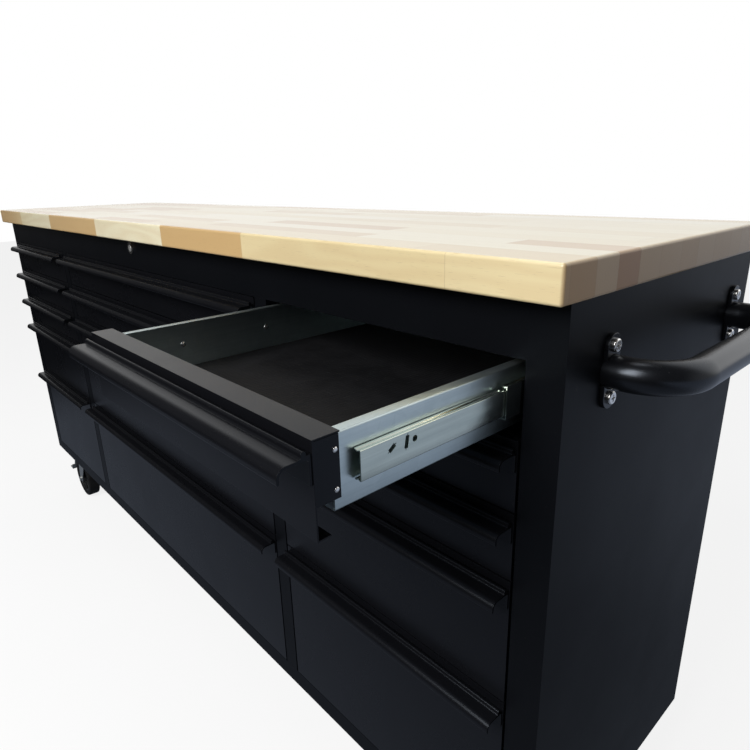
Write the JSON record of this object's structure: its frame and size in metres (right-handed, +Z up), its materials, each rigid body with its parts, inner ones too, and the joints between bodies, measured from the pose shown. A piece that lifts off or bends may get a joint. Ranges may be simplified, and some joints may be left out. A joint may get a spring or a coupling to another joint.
{
  "type": "rolling tool cabinet",
  "caption": "Long low rolling tool cabinet with a wooden worktop, three columns of full-width-pull drawers, a push handle on one end and swivel casters.",
  "frame": {"origin": "on the floor, under the centre of the worktop", "axes": "+X along the length towards the push handle, +Y from the drawers towards the back, +Z up"},
  "size_m": [1.9086, 0.693, 0.925],
  "materials": {
    "worktop": "oiled butcher block",
    "body_paint": "semi-gloss powder coat",
    "front_paint": "semi-gloss powder coat",
    "tray_zinc": "satin zinc-coated sheet",
    "slide_steel": "bright zinc",
    "bright_fittings": "polished",
    "caster_steel": "bright zinc",
    "tyre": "matt rubber"
  },
  "bodies": {
    "cabinet": {"worktop": "worktop", "carcass": "body_paint", "cabinet_slide_members": "slide_steel", "side_handle": "body_paint", "bright_fittings": "bright_fittings", "caster_mounts": "caster_steel"},
    "lock_plug": {"lock_plug": "bright_fittings"},
    "drawer_left_1": {"drawer_front_left_1": "front_paint", "drawer_tray_left_1": "tray_zinc"},
    "slide_middle_left_1": {"slide_middle_left_1": "slide_steel"},
    "drawer_left_2": {"drawer_front_left_2": "front_paint", "drawer_tray_left_2": "tray_zinc"},
    "slide_middle_left_2": {"slide_middle_left_2": "slide_steel"},
    "drawer_left_3": {"drawer_front_left_3": "front_paint", "drawer_tray_left_3": "tray_zinc"},
    "slide_middle_left_3": {"slide_middle_left_3": "slide_steel"},
    "drawer_left_4": {"drawer_front_left_4": "front_paint", "drawer_tray_left_4": "tray_zinc"},
    "slide_middle_left_4": {"slide_middle_left_4": "slide_steel"},
    "drawer_left_5": {"drawer_front_left_5": "front_paint", "drawer_tray_left_5": "tray_zinc"},
    "slide_middle_left_5": {"slide_middle_left_5": "slide_steel"},
    "drawer_middle_1": {"drawer_front_middle_1": "front_paint", "drawer_tray_middle_1": "tray_zinc"},
    "slide_middle_middle_1": {"slide_middle_middle_1": "slide_steel"},
    "drawer_middle_2": {"drawer_front_middle_2": "front_paint", "drawer_tray_middle_2": "tray_zinc"},
    "slide_middle_middle_2": {"slide_middle_middle_2": "slide_steel"},
    "drawer_middle_3": {"drawer_front_middle_3": "front_paint", "drawer_tray_middle_3": "tray_zinc"},
    "slide_middle_middle_3": {"slide_middle_middle_3": "slide_steel"},
    "drawer_middle_4": {"drawer_front_middle_4": "front_paint", "drawer_tray_middle_4": "tray_zinc"},
    "slide_middle_middle_4": {"slide_middle_middle_4": "slide_steel"},
    "drawer_middle_5": {"drawer_front_middle_5": "front_paint", "drawer_tray_middle_5": "tray_zinc"},
    "slide_middle_middle_5": {"slide_middle_middle_5": "slide_steel"},
    "drawer_right_1": {"drawer_front_right_1": "front_paint", "drawer_tray_right_1": "tray_zinc"},
    "slide_middle_right_1": {"slide_middle_right_1": "slide_steel"},
    "drawer_right_2": {"drawer_front_right_2": "front_paint", "drawer_tray_right_2": "tray_zinc"},
    "slide_middle_right_2": {"slide_middle_right_2": "slide_steel"},
    "drawer_right_3": {"drawer_front_right_3": "front_paint", "drawer_tray_right_3": "tray_zinc"},
    "slide_middle_right_3": {"slide_middle_right_3": "slide_steel"},
    "drawer_right_4": {"drawer_front_right_4": "front_paint", "drawer_tray_right_4": "tray_zinc"},
    "slide_middle_right_4": {"slide_middle_right_4": "slide_steel"},
    "drawer_right_5": {"drawer_front_right_5": "front_paint", "drawer_tray_right_5": "tray_zinc"},
    "slide_middle_right_5": {"slide_middle_right_5": "slide_steel"},
    "swivel_fork_front": {"swivel_fork_front": "caster_steel"},
    "brake_pedal_front": {"brake_pedal_front": "caster_steel"},
    "wheel_front_left": {"wheel_front_left": "tyre"},
    "wheel_front_right": {"wheel_front_right": "tyre"},
    "swivel_fork_rear": {"swivel_fork_rear": "caster_steel"},
    "brake_pedal_rear": {"brake_pedal_rear": "caster_steel"},
    "wheel_rear_left": {"wheel_rear_left": "tyre"},
    "wheel_rear_right": {"wheel_rear_right": "tyre"}
  },
  "joints": [
    {"name": "lock_turn", "type": "hinge", "parent": "cabinet", "child": "lock_plug", "pos_m": [0, -0.207, 0.874], "axis": [0, 1, 0], "range_deg": [0, 90]},
    {"name": "drawer_left_1_slide", "type": "slide", "parent": "cabinet", "child": "drawer_left_1", "axis": [0, -1, 0], "range_m": [0, 0.35]},
    {"name": "slide_middle_left_1_slide", "type": "slide", "parent": "cabinet", "child": "slide_middle_left_1", "axis": [0, -1, 0], "range_m": [0, 0.175]},
    {"name": "drawer_left_2_slide", "type": "slide", "parent": "cabinet", "child": "drawer_left_2", "axis": [0, -1, 0], "range_m": [0, 0.35]},
    {"name": "slide_middle_left_2_slide", "type": "slide", "parent": "cabinet", "child": "slide_middle_left_2", "axis": [0, -1, 0], "range_m": [0, 0.175]},
    {"name": "drawer_left_3_slide", "type": "slide", "parent": "cabinet", "child": "drawer_left_3", "axis": [0, -1, 0], "range_m": [0, 0.35]},
    {"name": "slide_middle_left_3_slide", "type": "slide", "parent": "cabinet", "child": "slide_middle_left_3", "axis": [0, -1, 0], "range_m": [0, 0.175]},
    {"name": "drawer_left_4_slide", "type": "slide", "parent": "cabinet", "child": "drawer_left_4", "axis": [0, -1, 0], "range_m": [0, 0.35]},
    {"name": "slide_middle_left_4_slide", "type": "slide", "parent": "cabinet", "child": "slide_middle_left_4", "axis": [0, -1, 0], "range_m": [0, 0.175]},
    {"name": "drawer_left_5_slide", "type": "slide", "parent": "cabinet", "child": "drawer_left_5", "axis": [0, -1, 0], "range_m": [0, 0.35]},
    {"name": "slide_middle_left_5_slide", "type": "slide", "parent": "cabinet", "child": "slide_middle_left_5", "axis": [0, -1, 0], "range_m": [0, 0.175]},
    {"name": "drawer_middle_1_slide", "type": "slide", "parent": "cabinet", "child": "drawer_middle_1", "axis": [0, -1, 0], "range_m": [0, 0.35]},
    {"name": "slide_middle_middle_1_slide", "type": "slide", "parent": "cabinet", "child": "slide_middle_middle_1", "axis": [0, -1, 0], "range_m": [0, 0.175]},
    {"name": "drawer_middle_2_slide", "type": "slide", "parent": "cabinet", "child": "drawer_middle_2", "axis": [0, -1, 0], "range_m": [0, 0.35]},
    {"name": "slide_middle_middle_2_slide", "type": "slide", "parent": "cabinet", "child": "slide_middle_middle_2", "axis": [0, -1, 0], "range_m": [0, 0.175]},
    {"name": "drawer_middle_3_slide", "type": "slide", "parent": "cabinet", "child": "drawer_middle_3", "axis": [0, -1, 0], "range_m": [0, 0.35]},
    {"name": "slide_middle_middle_3_slide", "type": "slide", "parent": "cabinet", "child": "slide_middle_middle_3", "axis": [0, -1, 0], "range_m": [0, 0.175]},
    {"name": "drawer_middle_4_slide", "type": "slide", "parent": "cabinet", "child": "drawer_middle_4", "axis": [0, -1, 0], "range_m": [0, 0.35]},
    {"name": "slide_middle_middle_4_slide", "type": "slide", "parent": "cabinet", "child": "slide_middle_middle_4", "axis": [0, -1, 0], "range_m": [0, 0.175]},
    {"name": "drawer_middle_5_slide", "type": "slide", "parent": "cabinet", "child": "drawer_middle_5", "axis": [0, -1, 0], "range_m": [0, 0.35]},
    {"name": "slide_middle_middle_5_slide", "type": "slide", "parent": "cabinet", "child": "slide_middle_middle_5", "axis": [0, -1, 0], "range_m": [0, 0.175]},
    {"name": "drawer_right_1_slide", "type": "slide", "parent": "cabinet", "child": "drawer_right_1", "axis": [0, -1, 0], "range_m": [-0.229, 0.121]},
    {"name": "slide_middle_right_1_slide", "type": "slide", "parent": "cabinet", "child": "slide_middle_right_1", "axis": [0, -1, 0], "range_m": [-0.1145, 0.0605]},
    {"name": "drawer_right_2_slide", "type": "slide", "parent": "cabinet", "child": "drawer_right_2", "axis": [0, -1, 0], "range_m": [0, 0.35]},
    {"name": "slide_middle_right_2_slide", "type": "slide", "parent": "cabinet", "child": "slide_middle_right_2", "axis": [0, -1, 0], "range_m": [0, 0.175]},
    {"name": "drawer_right_3_slide", "type": "slide", "parent": "cabinet", "child": "drawer_right_3", "axis": [0, -1, 0], "range_m": [0, 0.35]},
    {"name": "slide_middle_right_3_slide", "type": "slide", "parent": "cabinet", "child": "slide_middle_right_3", "axis": [0, -1, 0], "range_m": [0, 0.175]},
    {"name": "drawer_right_4_slide", "type": "slide", "parent": "cabinet", "child": "drawer_right_4", "axis": [0, -1, 0], "range_m": [0, 0.35]},
    {"name": "slide_middle_right_4_slide", "type": "slide", "parent": "cabinet", "child": "slide_middle_right_4", "axis": [0, -1, 0], "range_m": [0, 0.175]},
    {"name": "drawer_right_5_slide", "type": "slide", "parent": "cabinet", "child": "drawer_right_5", "axis": [0, -1, 0], "range_m": [0, 0.35]},
    {"name": "slide_middle_right_5_slide", "type": "slide", "parent": "cabinet", "child": "slide_middle_right_5", "axis": [0, -1, 0], "range_m": [0, 0.175]},
    {"name": "swivel_fork_front_turn", "type": "hinge", "parent": "cabinet", "child": "swivel_fork_front", "pos_m": [-0.795, -0.159, 0.0625], "axis": [0, 0, 1], "continuous": true},
    {"name": "wheel_front_left_roll", "type": "hinge", "parent": "swivel_fork_front", "child": "wheel_front_left", "pos_m": [-0.83, -0.159, 0.0625], "axis": [0, 1, 0], "continuous": true},
    {"name": "brake_pedal_front_press", "type": "hinge", "parent": "swivel_fork_front", "child": "brake_pedal_front", "pos_m": [-0.81137, -0.159, 0.13205], "axis": [0, 1, 0], "range_deg": [0, 12]},
    {"name": "wheel_front_right_roll", "type": "hinge", "parent": "cabinet", "child": "wheel_front_right", "pos_m": [0.795, -0.159, 0.0625], "axis": [0, 1, 0], "continuous": true},
    {"name": "swivel_fork_rear_turn", "type": "hinge", "parent": "cabinet", "child": "swivel_fork_rear", "pos_m": [-0.795, 0.174, 0.0625], "axis": [0, 0, 1], "continuous": true},
    {"name": "wheel_rear_left_roll", "type": "hinge", "parent": "swivel_fork_rear", "child": "wheel_rear_left", "pos_m": [-0.83, 0.174, 0.0625], "axis": [0, 1, 0], "continuous": true},
    {"name": "brake_pedal_rear_press", "type": "hinge", "parent": "swivel_fork_rear", "child": "brake_pedal_rear", "pos_m": [-0.81137, 0.174, 0.13205], "axis": [0, 1, 0], "range_deg": [0, 12]},
    {"name": "wheel_rear_right_roll", "type": "hinge", "parent": "cabinet", "child": "wheel_rear_right", "pos_m": [0.795, 0.174, 0.0625], "axis": [0, 1, 0], "continuous": true}
  ],
  "couplings": [
    {"joint": "slide_middle_left_1_slide", "follows": "drawer_left_1_slide", "ratio": 0.5},
    {"joint": "slide_middle_left_2_slide", "follows": "drawer_left_2_slide", "ratio": 0.5},
    {"joint": "slide_middle_left_3_slide", "follows": "drawer_left_3_slide", "ratio": 0.5},
    {"joint": "slide_middle_left_4_slide", "follows": "drawer_left_4_slide", "ratio": 0.5},
    {"joint": "slide_middle_left_5_slide", "follows": "drawer_left_5_slide", "ratio": 0.5},
    {"joint": "slide_middle_middle_1_slide", "follows": "drawer_middle_1_slide", "ratio": 0.5},
    {"joint": "slide_middle_middle_2_slide", "follows": "drawer_middle_2_slide", "ratio": 0.5},
    {"joint": "slide_middle_middle_3_slide", "follows": "drawer_middle_3_slide", "ratio": 0.5},
    {"joint": "slide_middle_middle_4_slide", "follows": "drawer_middle_4_slide", "ratio": 0.5},
    {"joint": "slide_middle_middle_5_slide", "follows": "drawer_middle_5_slide", "ratio": 0.5},
    {"joint": "slide_middle_right_1_slide", "follows": "drawer_right_1_slide", "ratio": 0.5},
    {"joint": "slide_middle_right_2_slide", "follows": "drawer_right_2_slide", "ratio": 0.5},
    {"joint": "slide_middle_right_3_slide", "follows": "drawer_right_3_slide", "ratio": 0.5},
    {"joint": "slide_middle_right_4_slide", "follows": "drawer_right_4_slide", "ratio": 0.5},
    {"joint": "slide_middle_right_5_slide", "follows": "drawer_right_5_slide", "ratio": 0.5}
  ]
}
